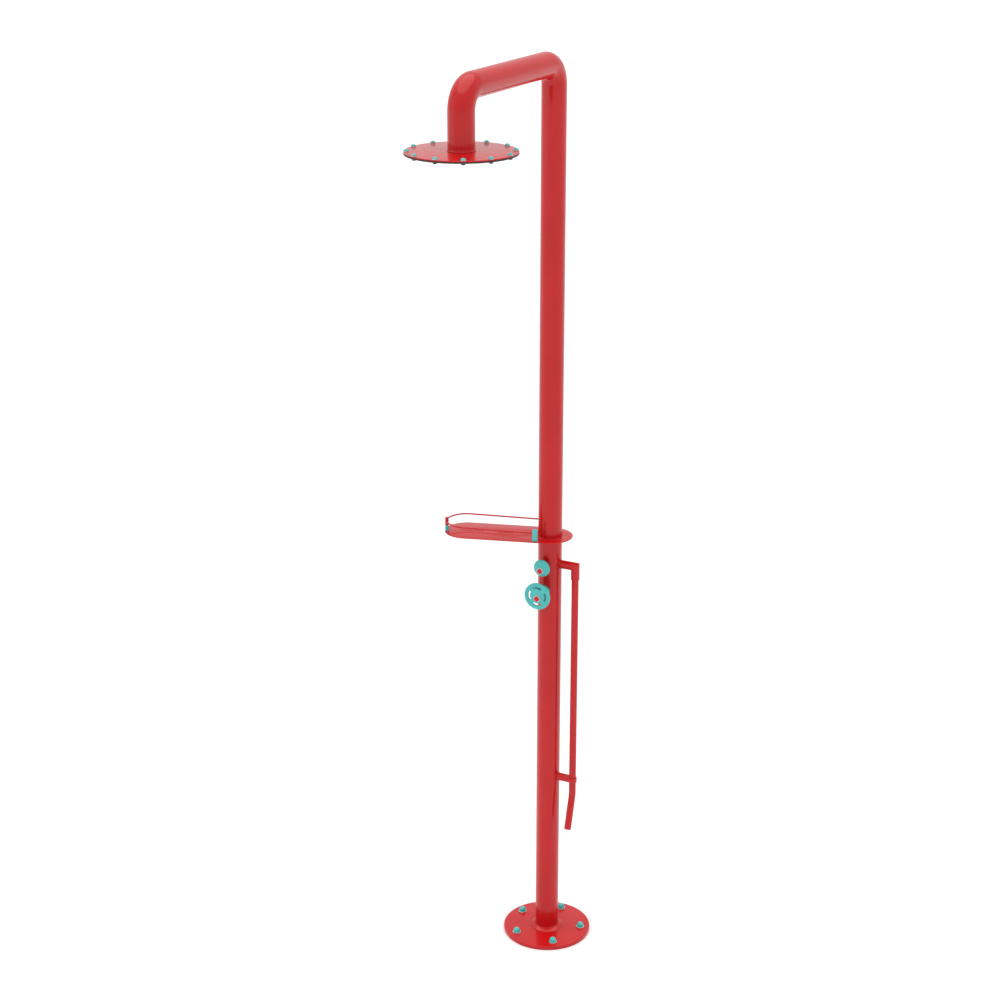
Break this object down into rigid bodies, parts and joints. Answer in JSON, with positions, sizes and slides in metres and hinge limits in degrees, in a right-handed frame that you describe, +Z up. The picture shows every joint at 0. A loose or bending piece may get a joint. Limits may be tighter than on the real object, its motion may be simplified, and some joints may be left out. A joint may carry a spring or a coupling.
{
  "type": "emergency safety shower",
  "caption": "Red standing drench shower: a gooseneck column with an overhead spray plate, a handwheel valve, a knob valve with a low side outlet, and a small shelf with a wire guard.",
  "frame": {"origin": "on the floor, at the middle of the base flange's underside", "axes": "+Z up along the column, -Y along the overhead arm, the handwheel and the knob, +X towards the low side outlet"},
  "size_m": [0.3845, 0.7, 2.3341],
  "materials": {
    "red_paint": "glossy red powder coat",
    "teal_plastic": "smooth teal plastic",
    "bright_steel": "bright steel",
    "dark_spray_plate": "dark coated",
    "black_rubber": "matt",
    "brass": "cast and turned"
  },
  "bodies": {
    "column": {"anchor_bolt_1": "teal_plastic", "anchor_bolt_2": "teal_plastic", "anchor_bolt_3": "teal_plastic", "anchor_bolt_4": "teal_plastic", "anchor_bolt_5": "teal_plastic", "anchor_washer_1": "bright_steel", "anchor_washer_2": "bright_steel", "anchor_washer_3": "bright_steel", "anchor_washer_4": "bright_steel", "anchor_washer_5": "bright_steel", "arm_pipe": "red_paint", "base_collar": "red_paint", "base_flange": "red_paint", "body_seal": "black_rubber", "column_elbow": "red_paint", "column_pipe": "red_paint", "drop_pipe": "red_paint", "foot_bonnet": "teal_plastic", "foot_outlet_elbow": "red_paint", "foot_pipe": "red_paint", "foot_pipe_bracket": "red_paint", "head_elbow": "red_paint", "head_gasket": "black_rubber", "head_screw_01": "teal_plastic", "head_screw_02": "teal_plastic", "head_screw_03": "teal_plastic", "head_screw_04": "teal_plastic", "head_screw_05": "teal_plastic", "head_screw_06": "teal_plastic", "head_screw_07": "teal_plastic", "head_screw_08": "teal_plastic", "head_screw_09": "teal_plastic", "head_screw_10": "teal_plastic", "head_screw_11": "teal_plastic", "head_screw_12": "teal_plastic", "head_top_plate": "red_paint", "inlet_socket": "bright_steel", "nozzle_mat": "black_rubber", "rail_end_ferrule": "teal_plastic", "rail_end_post": "red_paint", "rail_post_far": "teal_plastic", "rail_post_near": "teal_plastic", "rail_wire": "red_paint", "shelf_collar": "red_paint", "shelf_plate": "red_paint", "shower_bonnet": "teal_plastic", "shower_gland_nut": "brass", "spray_plate": "dark_spray_plate", "supply_pipe": "bright_steel", "valve_body": "brass"},
    "handwheel_set": {"handwheel": "teal_plastic", "handwheel_mark": "red_paint", "shower_spindle": "bright_steel"},
    "gate": {"shower_gate": "brass"},
    "knob_set": {"foot_knob": "teal_plastic", "foot_knob_mark": "red_paint", "foot_spindle": "bright_steel", "foot_valve_plug": "brass"}
  },
  "joints": [
    {"name": "handwheel_turn", "type": "hinge", "parent": "column", "child": "handwheel_set", "pos_m": [0, -0.072, 0.9936], "axis": [0, -1, 0], "range_deg": [0, 720]},
    {"name": "gate_travel", "type": "slide", "parent": "column", "child": "gate", "axis": [0, -1, 0], "range_m": [0, 0.00602]},
    {"name": "knob_turn", "type": "hinge", "parent": "column", "child": "knob_set", "pos_m": [0, -0.049, 1.0605], "axis": [0, -1, 0], "range_deg": [0, 90]}
  ],
  "couplings": [
    {"joint": "gate_travel", "follows": "handwheel_turn", "m_per_rad": 0.00047746}
  ]
}
